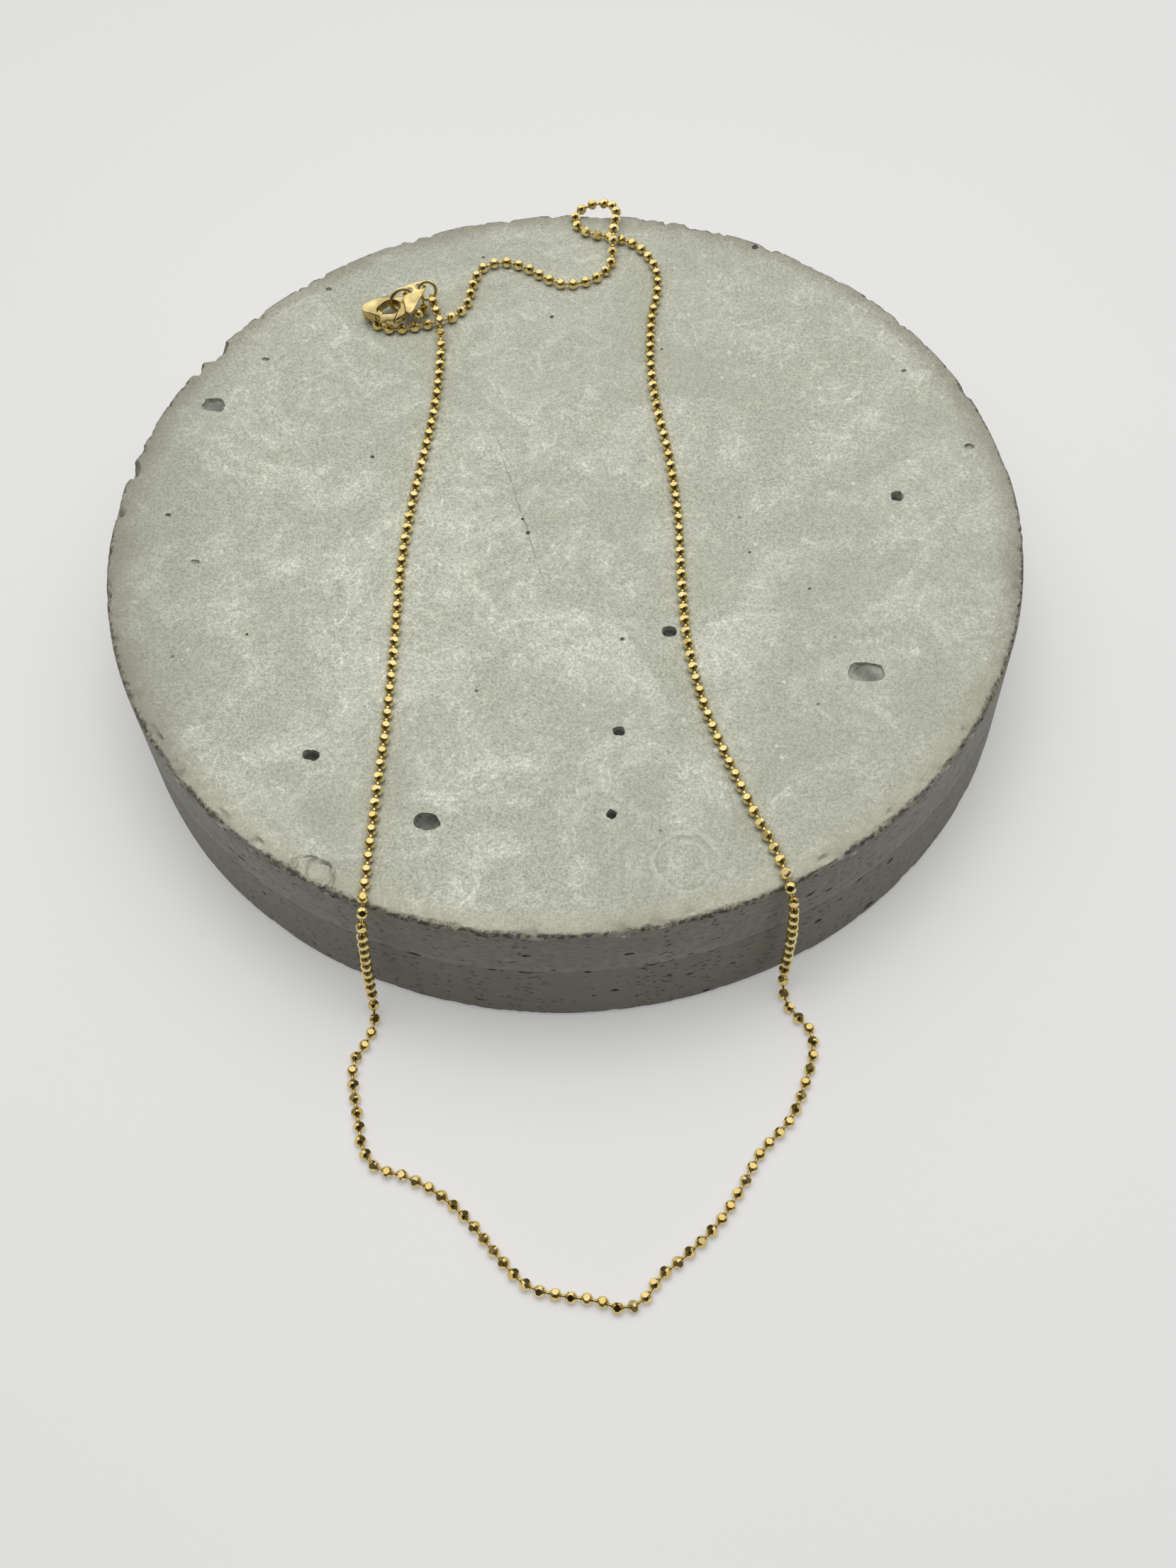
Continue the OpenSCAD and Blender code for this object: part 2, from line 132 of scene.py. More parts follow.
# How far the rims' wear reaches along the side, in over the faces, and in at its strongest
WEAR_ALONG, WEAR_IN, WEAR_STRONG = 1.2 * MM, 1.6 * MM, 0.95 * MM
# Share of that wear on the bottom rim, and further in
WEAR_LESS = 0.35
# Its hollows, its large and small crumbs and its roughness, in waves to the metre
HOLLOWS, CRUMBS, SMALL_CRUMBS, ROUGHNESS = 90, 380, 1100, 3100
# First seeds of the chips' and the side holes' shapes, whose order goes on from there
CHIP_SEED, HOLE_SEED = 90, 40

# Colours of the slab's marks, and of the shade and shadow painted on it
LIME_SPECK = (0.66, 0.67, 0.61, 1.0)
DOT_PIT_SHADE = (0.09, 0.088, 0.075, 1.0)
CRACK = (0.13, 0.125, 0.10, 1.0)
LOW_SIDE = (0.162, 0.146, 0.112, 1.0)
SIDE_HOLE_SHADE = (0.028, 0.025, 0.020, 1.0)
SEAM_LINE = (0.06, 0.057, 0.05, 1.0)
CHIP_HOLLOW_SHADE = (0.018, 0.016, 0.012, 1.0)
FOOT_SHADOW = (0.025, 0.023, 0.02, 1.0)
RIM_SHADE, RIM_CRUMB = (0.045, 0.039, 0.030, 1.0), (0.26, 0.235, 0.17, 1.0)
WORN_EDGE_SHADE, WORN_CRUMB = (0.085, 0.076, 0.058, 1.0), (0.36, 0.34, 0.265, 1.0)
YELLOWED = (0.43, 0.415, 0.31, 1.0)
TOP_EDGE_DARK = (0.165, 0.152, 0.112, 1.0)
PIT_SHADE = (0.05, 0.052, 0.05, 1.0)

# Colours that deepen the gold: the beads', the fittings' (a deeper tone that is partly painted
# shade), and painted shade on all of it near the floor
BEAD_DEEP = (0.81, 0.62, 0.22, 1.0)
FITTING_DEEP_AND_SHADE = (0.52, 0.40, 0.17, 1.0)
LOW_GOLD_SHADE = (0.90, 0.87, 0.82, 1.0)

# How much of each pin the two beads round it hide, and a wire end's reach past its bead
PIN_HIDDEN = 0.84 * MM
WIRE_END = 1.4 * MM
# The most there can be between two neighbouring beads
BEAD_STEP_MAX = 2.4 * MM
# How much the clasp's flat faces fall away towards their edges
CROWN = 0.42

# The photograph's camera: its place, its axes and its lens in mm on a 36 mm high sensor
CAMERA_AT = (0.0, -0.156495, 0.211853)
CAMERA_RIGHT = Vector((0.9979, -0.0575, -0.0298))
CAMERA_UP = Vector((0.0646, 0.8502, 0.5224))
CAMERA_AHEAD = Vector((0.0047, 0.5233, -0.8522))
CAMERA_LENS = 42.65
# The way from the slab to that camera, as shares of back and up
TO_CAMERA = (-0.636, 0.772)


# ---- settings


class SlabLook(bpy.types.PropertyGroup):
    """Sizes and colours of the concrete slab"""

    rim: bpy.props.FloatProperty(
        name="Rim radius", description="Radius of the slab's worn rims",
        default=0.9 * MM, min=0.1 * MM, max=2 * MM, unit="LENGTH")
    chip: bpy.props.FloatProperty(
        name="Rim wear", description="How deep the rim is chipped",
        default=0.8 * MM, min=0.0, max=1 * MM, unit="LENGTH")
    top_colour: bpy.props.FloatVectorProperty(
        name="Top colour", description="Colour of the cast top", subtype="COLOR",
        size=3, default=(0.376, 0.382, 0.312))
    pale_colour: bpy.props.FloatVectorProperty(
        name="Pale patches", description="Colour of the lime patches on the top",
        subtype="COLOR", size=3, default=(0.520, 0.528, 0.455))
    side_colour: bpy.props.FloatVectorProperty(
        name="Side colour", description="Colour of the smooth moulded side",
        subtype="COLOR", size=3, default=(0.190, 0.187, 0.152))


class ChainLook(bpy.types.PropertyGroup):
    """Sizes and colours of the chain and its fittings"""

    bead_radius: bpy.props.FloatProperty(
        name="Bead radius", description="Radius of one bead",
        default=0.75 * MM, unit="LENGTH")
    flat_width: bpy.props.FloatProperty(
        name="Flat to flat", description="Distance between the flats cut round a bead",
        default=1.24 * MM, unit="LENGTH")
    bead_length: bpy.props.FloatProperty(
        name="Bead length", description="Length of a bead between its end flats",
        default=1.34 * MM, unit="LENGTH")
    pin_radius: bpy.props.FloatProperty(
        name="Pin radius", description="Radius of the pins between the beads",
        default=0.19 * MM, unit="LENGTH")
    gold: bpy.props.FloatVectorProperty(
        name="Gold", description="Colour of the polished gold", subtype="COLOR",
        size=3, default=(0.90, 0.73, 0.34))


class StudioLook(bpy.types.PropertyGroup):
    """Colours and strengths of the floor and the lights"""

    floor_colour: bpy.props.FloatVectorProperty(
        name="Floor", description="Colour of the white surface", subtype="COLOR",
        size=3, default=(0.45, 0.448, 0.444))
    # Painted light: the floor glows though it is no lamp, which lifts the shadows on it
    shadow_lift_glow: bpy.props.FloatProperty(
        name="Floor glow", description="Light that comes up through the backlit surface",
        default=0.28, min=0.0, max=1.0)
    key: bpy.props.FloatProperty(
        name="Ceiling light", description="Power of the large soft light overhead",
        default=1.65, min=0.0, unit="POWER")
    lamp: bpy.props.FloatProperty(
        name="Overhead lamp", description="Power of the smaller lamp under the ceiling light",
        default=0.78, min=0.0, unit="POWER")
    window: bpy.props.FloatProperty(
        name="Window wall", description="Brightness of the wall that the metal mirrors",
        default=1.2, min=0.0)
    mirrored_walls: bpy.props.FloatProperty(
        name="Mirrored walls", description="Brightness of the other walls in the metal",
        default=0.27, min=0.0)
    backdrop: bpy.props.FloatProperty(
        name="Backdrop", description="Brightness of the plain backdrop past the floor",
        default=0.76, min=0.0, max=1.0)
    walls: bpy.props.FloatProperty(
        name="White walls", description="Brightness of the white walls round the set",
        default=0.42, min=0.0)
    back: bpy.props.FloatProperty(
        name="Back wall", description="Share of that brightness on the far side",
        default=0.8, min=0.0, max=1.0)
    front: bpy.props.FloatProperty(
        name="Open front", description="Share of that brightness on the camera's side",
        default=0.05, min=0.0, max=1.0)


# ---- modelling helpers


def clear_selection():
    """Leaves edit mode and deselects everything."""
    if bpy.context.object and bpy.context.object.mode != "OBJECT":
        bpy.ops.object.mode_set(mode="OBJECT")
    bpy.ops.object.select_all(action="DESELECT")


def take(name):
    """Names the active object, such as a new primitive, and returns it."""
    piece = bpy.context.object
    piece.name = name
    piece.data.name = name
    return piece


def only(piece):
    """Selects one object and makes it the active one."""
    clear_selection()
    piece.select_set(True)
    bpy.context.view_layer.objects.active = piece


def pick(piece, test, kind="FACE"):
    """In edit mode, selects the faces or edges for which test is true."""
    bpy.ops.mesh.select_mode(type=kind)
    bpy.ops.mesh.select_all(action="DESELECT")
    bm = bmesh.from_edit_mesh(piece.data)
    for part in bm.faces if kind == "FACE" else bm.edges:
        part.select = test(part)
    bm.select_flush_mode()
    bmesh.update_edit_mesh(piece.data)


def apply_modifier(piece, kind, **settings):
    """Adds a modifier, sets it up and applies it."""
    only(piece)
    bpy.ops.object.modifier_add(type=kind)
    modifier = piece.modifiers[-1]
    for key, value in settings.items():
        setattr(modifier, key, value)
    bpy.ops.object.modifier_apply(modifier=modifier.name)


def copies(template, places, name):
    """Copies a modelled piece to each place and joins the copies into one object."""
    made = []
    for place in places:
        one = template.copy()
        one.data = template.data.copy()
        one.data.transform(place)
        bpy.context.scene.collection.objects.link(one)
        made.append(one)
    return join(made, name)


def join(parts, name):
    """Joins several objects into one."""
    clear_selection()
    for one in parts:
        one.select_set(True)
    bpy.context.view_layer.objects.active = parts[0]
    bpy.ops.object.join()
    return take(name)


def frame_matrix(at, axis, up=None, spin=0.0):
    """Matrix that puts a piece made along Z at a place, along an axis and spun about it."""
    if up is None:
        turn = axis.to_track_quat("Z", "Y").to_matrix().to_4x4()
    else:
        turn = Matrix((up.cross(axis), up, axis)).transposed().to_4x4()
    return Matrix.Translation(at) @ turn @ Matrix.Rotation(spin, 4, "Z")


def put_on(piece, material, body):
    """Gives a piece its material, its body and the slot of its finish."""
    piece.data.materials.clear()
    piece.data.materials.append(material)
    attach(piece, body)
    return piece


# ---- material helpers


class Wiring:
    """Adds nodes to a tree and links them, one call for each node."""

    def __init__(self, tree):
        self.tree = tree

    def add(self, kind, settings=None, **inputs):
        """A node with its settings and its inputs, by name, or by number such as n0."""
        made = self.tree.nodes.new(kind)
        for key, value in (settings or {}).items():
            setattr(made, key, value)
        for key, value in inputs.items():
            self.feed(made, key.replace("_", " "), value)
        return made

    def feed(self, made, key, value):
        """Sets an input to a value, or links it to another node's output."""
        socket = made.inputs[int(key[1:]) if key[0] == "n" and key[1:].isdigit() else key]
        if isinstance(value, bpy.types.NodeSocket):
            self.tree.links.new(value, socket)
        else:
            socket.default_value = value

    def math(self, operation, a, b=0.0):
        """A Math node's value."""
        return self.add("ShaderNodeMath", {"operation": operation}, n0=a, n1=b).outputs[0]

    def plus(self, a, b):
        """The sum of two values."""
        return self.math("ADD", a, b)

    def minus(self, a, b):
        """The first value less the second."""
        return self.math("SUBTRACT", a, b)

    def times(self, a, b):
        """The product of two values."""
        return self.math("MULTIPLY", a, b)

    def size(self, a):
        """A value without its sign."""
        return self.math("ABSOLUTE", a)

    def length(self, a, b):
        """Length of a flat vector."""
        return self.math("SQRT", self.plus(self.times(a, a), self.times(b, b)))

    def band(self, value, low, high, to_low=0.0, to_high=1.0):
        """Value mapped smoothly from one range to another."""
        return self.add("ShaderNodeMapRange", {"interpolation_type": "SMOOTHSTEP"}, n0=value,
                        n1=low, n2=high, n3=to_low, n4=to_high).outputs[0]

    def blend(self, share, a, b, how="MIX"):
        """Colour a turned into colour b by a share."""
        return self.add("ShaderNodeMix", {"data_type": "RGBA", "blend_type": how}, n0=share,
                        n6=a, n7=b).outputs[2]

    def paint(self, colour, mask, share, paint):
        """A colour with paint on it where the mask is, as thick as the share."""
        return self.blend(self.times(mask, share), colour, paint)

    def grain(self, where, scale, detail=3.0, rough=0.5, twist=0.0):
        """A noise's value at a place."""
        return self.add("ShaderNodeTexNoise", None, Vector=where, Scale=scale, Detail=detail,
                        Roughness=rough, Distortion=twist).outputs[0]


def effect_group(name, inputs, outputs):
    """A shader node group with named inputs and outputs.

    Gives its wiring, what it is given, its end node and the group.
    """
    group = bpy.data.node_groups.new(name, "ShaderNodeTree")
    for label, kind, value in inputs:
        socket = group.interface.new_socket(label, in_out="INPUT", socket_type=kind)
        if value is not None:
            socket.default_value = value
    for label, kind in outputs:
        group.interface.new_socket(label, in_out="OUTPUT", socket_type=kind)
    wiring = Wiring(group)
    given = wiring.add("NodeGroupInput").outputs
    return wiring, given, wiring.add("NodeGroupOutput"), group


NUMBER, COLOUR, PLACE = "NodeSocketFloat", "NodeSocketColor", "NodeSocketVector"


def mottle_group():
    """Cloudy colour change with wisps and fine grain, and the height of that grain."""
    w, given, end, group = effect_group(
        "Cast mottle",
        [("Place", PLACE, None), ("Base", COLOUR, None), ("Patch", COLOUR, None),
         ("Patch Scale", NUMBER, 60.0), ("Patch Share", NUMBER, 0.5),
         ("Wisp Scale", NUMBER, 130.0), ("Wisp Share", NUMBER, 0.4),
         ("Grain Scale", NUMBER, 1600.0), ("Grain Depth", NUMBER, 0.15)],
        [("Colour", COLOUR), ("Height", NUMBER)])
    place = given["Place"]
    # Patches: soft clouds, with some crisp edges in them
    cloud = w.grain(place, given["Patch Scale"], 8.0, 0.60, 0.9)
    small = w.grain(place, w.times(given["Patch Scale"], 5.0), 4.0, 0.55, 2.0)
    both = w.plus(w.times(cloud, 0.7), w.times(small, 0.3))
    soft, crisp = w.band(both, 0.36, 0.66), w.band(both, 0.505, 0.53)
    cover = w.times(w.plus(w.times(soft, 0.72), w.times(crisp, 0.28)), given["Patch Share"])
    body = w.blend(cover, given["Base"], given["Patch"])
    # Wisps: thin pale lines of two sizes, most of them where the clouds are
    where = w.band(cloud, 0.40, 0.56, 0.35, 1.0)
    for finer, width, share in ((1.0, 0.024, 1.0), (2.7, 0.034, 0.7)):
        line = w.grain(place, w.times(given["Wisp Scale"], finer), 3.0, 0.5, 1.8)
        near = w.band(w.size(w.minus(line, 0.5)), width, 0.0)
        near = w.times(w.times(near, where), share)
        paler = w.plus(1.0, w.times(near, given["Wisp Share"]))
        body = w.blend(1.0, body, paler, "MULTIPLY")
    # Grain
    fine = w.grain(place, given["Grain Scale"], 2.0, 0.65)
    swing = w.times(w.minus(fine, 0.5), given["Grain Depth"])
    gain = w.plus(w.times(swing, 4.0), 1.0)
    w.feed(end, "Colour", w.blend(1.0, body, gain, "MULTIPLY"))
    w.feed(end, "Height", fine)
    return group


def pit_group():
    """Small pits scattered over a cast face: where they are."""
    w, given, end, group = effect_group(
        "Air pits",
        [("Place", PLACE, None), ("Scale", NUMBER, 500.0), ("Size", NUMBER, 0.12),
         ("Cover", NUMBER, 0.5)],
        [("Mask", NUMBER)])
    cells = w.add("ShaderNodeTexVoronoi", {"feature": "F1"}, Vector=given["Place"],
                  Scale=given["Scale"])
    size, cover = given["Size"], given["Cover"]
    pit = w.band(cells.outputs["Distance"], size, w.times(size, 0.5))
    some = w.band(cells.outputs["Color"], cover, w.plus(cover, 0.03))
    w.feed(end, "Mask", w.times(pit, some))
    return group


def polish_group():
    """Polished metal's slight change of colour and gloss, from handling and plating."""
    w, given, end, group = effect_group(
        "Handled polish",
        [("Place", PLACE, None), ("Base", COLOUR, None), ("Deep", COLOUR, None),
         ("Tone Scale", NUMBER, 500.0), ("Low Gloss", NUMBER, 0.1),
         ("High Gloss", NUMBER, 0.25)],
        [("Colour", COLOUR), ("Roughness", NUMBER), ("Height", NUMBER)])
    place = given["Place"]
    tone = w.grain(place, given["Tone Scale"], 2.0, 0.5)
    w.feed(end, "Colour", w.blend(w.band(tone, 0.35, 0.65), given["Base"], given["Deep"]))
    rub = w.grain(place, 2600.0, 3.0, 0.6)
    gloss = w.add("ShaderNodeMapRange", None, n0=rub, n1=0.3, n2=0.7, n3=given["Low Gloss"],
                  n4=given["High Gloss"])
    w.feed(end, "Roughness", gloss.outputs[0])
    w.feed(end, "Height", w.grain(place, 1800.0, 2.0, 0.5))
    return group


def new_material(name):
    """An empty material with a Principled shader: its wiring, shader and the material."""
    material = bpy.data.materials.new(name)
    material.use_nodes = True
    shader = material.node_tree.nodes["Principled BSDF"]
    return Wiring(material.node_tree), shader, material


def object_place(w):
    """Object coordinates, in metres."""
    return w.add("ShaderNodeTexCoord").outputs["Object"]


def use_group(w, group, **values):
    """A group placed in a material, with its own values."""
    made = w.add("ShaderNodeGroup", {"node_tree": group})
    for key, value in values.items():
        w.feed(made, key.replace("_", " "), value)
    return made.outputs


def with_alpha(colour, share=1.0):
    """A colour property as four numbers, made darker or lighter by a share."""
    return (*[channel * share for channel in colour], 1.0)


class SlabPlace:
    """Where a point of the slab is, and the unevenness that the slab's marks share."""

    def __init__(self, w):
        self.place = object_place(w)
        self.x, self.y, self.z = w.add("ShaderNodeSeparateXYZ", None, Vector=self.place).outputs
        self.radius = w.length(self.x, self.y)
        self.wobble = w.grain(self.place, 260.0, 3.0, 0.6)
        self.uneven = w.times(w.minus(self.wobble, 0.5), 1.6 * MM)
        torn = w.grain(self.place, 240.0, 6.0, 0.62)
        self.ragged = w.times(w.minus(torn, 0.5), 1.7 * MM)
        self.crumbs = w.grain(self.place, 1500.0, 3.0, 0.7)


def top_pattern(w, look, at, mottle, pits):
    """The cast top's colour, the height of its grain and where its dark dots are."""
    top = use_group(w, mottle, Place=at.place, Base=with_alpha(look.top_colour),
                    Patch=with_alpha(look.pale_colour), Patch_Scale=75.0,
                    Patch_Share=w.band(at.y, 40 * MM, -20 * MM, 0.46, 0.70),
                    Wisp_Scale=85.0, Wisp_Share=0.20, Grain_Scale=3600.0, Grain_Depth=0.38)
    shade = w.band(w.grain(at.place, 26.0, 3.0, 0.55, 0.3), 0.42, 0.66)
    colour = w.paint(top["Colour"], shade, 0.3, with_alpha(look.top_colour, 0.84))
    specks = use_group(w, pits, Place=at.place, Scale=640.0, Size=0.24, Cover=0.84)
    colour = w.paint(colour, specks["Mask"], 0.6, LIME_SPECK)
    dots = use_group(w, pits, Place=at.place, Scale=300.0, Size=0.10, Cover=0.88)
    # Painted shade: tiny pits, only painted dark and sunk by the bump
    colour = w.paint(colour, dots["Mask"], 0.8, DOT_PIT_SHADE)
    return colour, top["Height"], dots["Mask"]


def stain_rings(w, look, at, colour):
    """The top's colour with its broken rings, paler or darker than the concrete."""
    broken = w.band(w.grain(at.place, 700.0, 3.0, 0.6), 0.36, 0.56, 0.15, 1.0)
    for ring_x, ring_y, ring_r, share, tone in STAIN_RINGS:
        away = w.length(w.minus(at.x, ring_x * MM), w.minus(at.y, ring_y * MM))
        off = w.size(w.minus(away, w.plus(w.times(at.uneven, 1.5), ring_r * MM)))
        line = w.times(w.band(off, 0.35 * MM, 0.0), broken)
        colour = w.paint(colour, line, share, with_alpha(look.top_colour, tone))
    return colour


def hair_crack(w, at, colour):
    """The top's colour with one fine crack, which runs from front to back at its middle."""
    across = w.plus(w.times(at.x, 0.978), w.times(at.y, 0.210))
    off = w.size(w.plus(w.plus(across, 4.55 * MM), w.times(at.uneven, 0.75)))
    stretch = w.times(w.band(at.y, -13 * MM, -5 * MM), w.band(at.y, 21 * MM, 15 * MM))
    crack = w.times(w.band(off, 0.13 * MM, 0.03 * MM), stretch)
    crack = w.times(crack, w.band(w.grain(at.place, 420.0), 0.40, 0.55))
    return w.paint(colour, crack, 0.6, CRACK)


def top_wear(w, look, at, colour):
    """The top's colour yellowed and darker near its edge, with painted shade towards its left
    part, on its worn rounding among pale crumbs, and down in its pits.
    """
    yellowed = w.times(w.band(at.radius, SLAB_R - 4.0 * MM, SLAB_R - 1.0 * MM),
                       w.band(at.y, -15 * MM, -40 * MM, 0.0, 0.45))
    colour = w.blend(yellowed, colour, YELLOWED)
    # Darker near the edge all round, least at the front
    darker_edge = w.times(w.band(w.plus(at.radius, w.times(at.uneven, 2.0)),
                            SLAB_R - 4.5 * MM, SLAB_R - 0.2 * MM),
                     w.band(at.y, -45 * MM, -15 * MM, 0.15, 0.55))
    colour = w.blend(darker_edge, colour, TOP_EDGE_DARK)
    # Painted shade: the top darkened towards its left part, most towards the front
    left = w.times(w.band(at.x, -40 * MM, -60 * MM), w.band(at.y, -40 * MM, 0.0, 1.0, 0.6))
    colour = w.paint(colour, left, 0.75, with_alpha(look.top_colour, 0.55))
    # The worn rounding of the top's edge: painted shade, dark, with pale crumbs in it
    worn = w.band(w.plus(at.radius, at.ragged), SLAB_R - 0.75 * MM, SLAB_R - 0.45 * MM)
    colour = w.paint(colour, worn, 0.75,
                     w.blend(w.band(at.crumbs, 0.38, 0.62), WORN_EDGE_SHADE, WORN_CRUMB))
    # Painted shade: dark down in the pits, by their depth, away from the rim
    deep = w.times(w.band(at.z, SLAB_TOP - 0.25 * MM, SLAB_TOP - 1.3 * MM),
                   w.band(at.radius, SLAB_R - 1.8 * MM, SLAB_R - 2.6 * MM))
    return w.paint(colour, deep, 0.8, PIT_SHADE)


def side_pattern(w, look, at, mottle, pits):
    """The moulded side's colour, the height of its grain and where its small holes are."""
    streaks = w.add("ShaderNodeMapping", None, Vector=at.place, Scale=(1.0, 1.0, 2.2)).outputs[0]
    side = use_group(w, mottle, Place=streaks, Base=with_alpha(look.side_colour),
                     Patch=with_alpha(look.side_colour, 1.35), Patch_Scale=40.0,
                     Patch_Share=0.6, Wisp_Scale=90.0, Wisp_Share=0.08, Grain_Scale=900.0,
                     Grain_Depth=0.25)
    waver = w.times(at.uneven, 0.3)
    low = w.band(w.plus(at.z, waver), (SEAM + 0.2) * MM, (SEAM - 0.2) * MM)
    colour = w.paint(side["Colour"], low, 0.6, LOW_SIDE)
    holes = use_group(w, pits, Place=streaks, Scale=880.0, Size=0.36,
                      Cover=w.band(at.z, 9.0 * MM, 14.0 * MM, 0.44, 0.60))
    # Painted shade: the small air holes are only painted near black and sunk by the bump
    colour = w.paint(colour, holes["Mask"], 0.9, SIDE_HOLE_SHADE)
    off_seam = w.minus(at.z, w.plus(waver, SEAM * MM))
    seam = w.times(w.band(w.size(off_seam), 0.2 * MM, 0.03 * MM),
                   w.band(w.grain(at.place, 300.0, 2.0), 0.45, 0.55))
    colour = w.paint(colour, seam, 0.7, SEAM_LINE)
    lip = w.band(w.size(w.minus(off_seam, 0.75 * MM)), 0.5 * MM, 0.1 * MM)
    colour = w.paint(colour, lip, 0.25, with_alpha(look.side_colour, 1.7))
    return colour, side["Height"], holes["Mask"]


def side_wear(w, at, colour):
    """The side's colour, with painted shade deep in the rim's chips and at its rim among pale
    crumbs, and a painted shadow along its bottom.
    """
    # Painted shade: near black down in the hollows that the rim's chips dig in
    chip_shade = w.times(w.band(at.radius, SLAB_R - 0.10 * MM, SLAB_R - 0.4 * MM),
                  w.band(at.z, SLAB_TOP - 1.2 * MM, SLAB_TOP - 1.9 * MM))
    colour = w.paint(colour, chip_shade, 0.95, CHIP_HOLLOW_SHADE)
    # Painted shadow: a dark line along the bottom, where the slab meets the floor
    contact_shadow = w.band(w.plus(at.z, w.times(at.uneven, 0.4)), 1.3 * MM, 0.2 * MM)
    colour = w.paint(colour, contact_shadow, 0.75, FOOT_SHADOW)
    # The top rim's rounding on the side: painted shade, dark, with pale crumbs in it
    rim = w.band(w.plus(at.z, at.ragged), SLAB_TOP - 0.75 * MM, SLAB_TOP - 0.55 * MM)
    return w.paint(colour, rim, 0.9,
                   w.blend(w.band(at.crumbs, 0.42, 0.60), RIM_SHADE, RIM_CRUMB))


def concrete_material(look):
    """Cast concrete: a pale mottled top, and a darker smooth side with air pits."""
    w, shader, material = new_material("Cast concrete")
    at = SlabPlace(w)
    mottle, pits = mottle_group(), pit_group()
    top_colour, top_height, dots = top_pattern(w, look, at, mottle, pits)
    top_colour = hair_crack(w, at, stain_rings(w, look, at, top_colour))
    top_colour = top_wear(w, look, at, top_colour)
    side_colour, side_height, holes = side_pattern(w, look, at, mottle, pits)
    side_colour = side_wear(w, at, side_colour)

    on_side = w.times(w.band(w.plus(at.radius, w.times(at.ragged, 0.35)),
                             SLAB_R - 0.55 * MM, SLAB_R - 0.35 * MM),
                      w.band(w.plus(at.z, w.times(at.ragged, 0.1)),
                             SLAB_TOP - 0.12 * MM, SLAB_TOP - 0.32 * MM))
    w.feed(shader, "Base Color", w.blend(on_side, top_colour, side_colour))
    sunk = w.times(w.blend(on_side, dots, holes), 2.0)
    level = w.minus(w.plus(w.blend(on_side, top_height, side_height),
                           w.times(at.wobble, 1.2)), sunk)
    bump = w.add("ShaderNodeBump", None, Strength=0.35, Distance=0.12 * MM, Height=level)
    w.feed(shader, "Normal", bump.outputs[0])
    w.feed(shader, "Roughness", w.band(w.plus(on_side, w.times(at.wobble, 0.3)),
                                       0.0, 1.3, 0.88, 0.55))
    shader.inputs["Specular IOR Level"].default_value = 0.35
    return material


def gold_material(look, group, name, deep, gloss, tone_scale, bump):
    """Polished gold whose tone and gloss change a little from place to place."""
    w, shader, material = new_material(name)
    place = object_place(w)
    polish = use_group(w, group, Place=place, Base=with_alpha(look.gold),
                       Deep=deep, Tone_Scale=tone_scale, Low_Gloss=gloss[0],
                       High_Gloss=gloss[1])
    z = w.add("ShaderNodeSeparateXYZ", None, Vector=place).outputs[2]
    # Painted shade: the gold is darkened and tinted from the slab's top down to 3 mm above the
    # floor
    w.feed(shader, "Base Color", w.blend(w.band(z, SLAB_TOP - 1 * MM, 3 * MM),
                                         polish["Colour"], LOW_GOLD_SHADE, "MULTIPLY"))
    w.feed(shader, "Roughness", polish["Roughness"])
    made = w.add("ShaderNodeBump", None, Strength=bump, Distance=0.02 * MM,
                 Height=polish["Height"])
    w.feed(shader, "Normal", made.outputs[0])
    shader.inputs["Metallic"].default_value = 1.0
    return material


def golds():
    """The necklace's two gold materials, made once: the beads' and the fittings'."""
    if "Bead gold" not in bpy.data.materials:
        look = bpy.context.scene.chain_look
        group = polish_group()
        gold_material(look, group, "Bead gold", BEAD_DEEP, gloss=(0.08, 0.17),
                      tone_scale=520.0, bump=0.2)
        # The fittings' much darker deep tone is partly real tone change and partly painted shade
        # on the clasp, rings and tag
        gold_material(look, group, "Fitting gold", FITTING_DEEP_AND_SHADE, gloss=(0.16, 0.30),
                      tone_scale=420.0, bump=0.35)
    return bpy.data.materials["Bead gold"], bpy.data.materials["Fitting gold"]


# ---- the slab


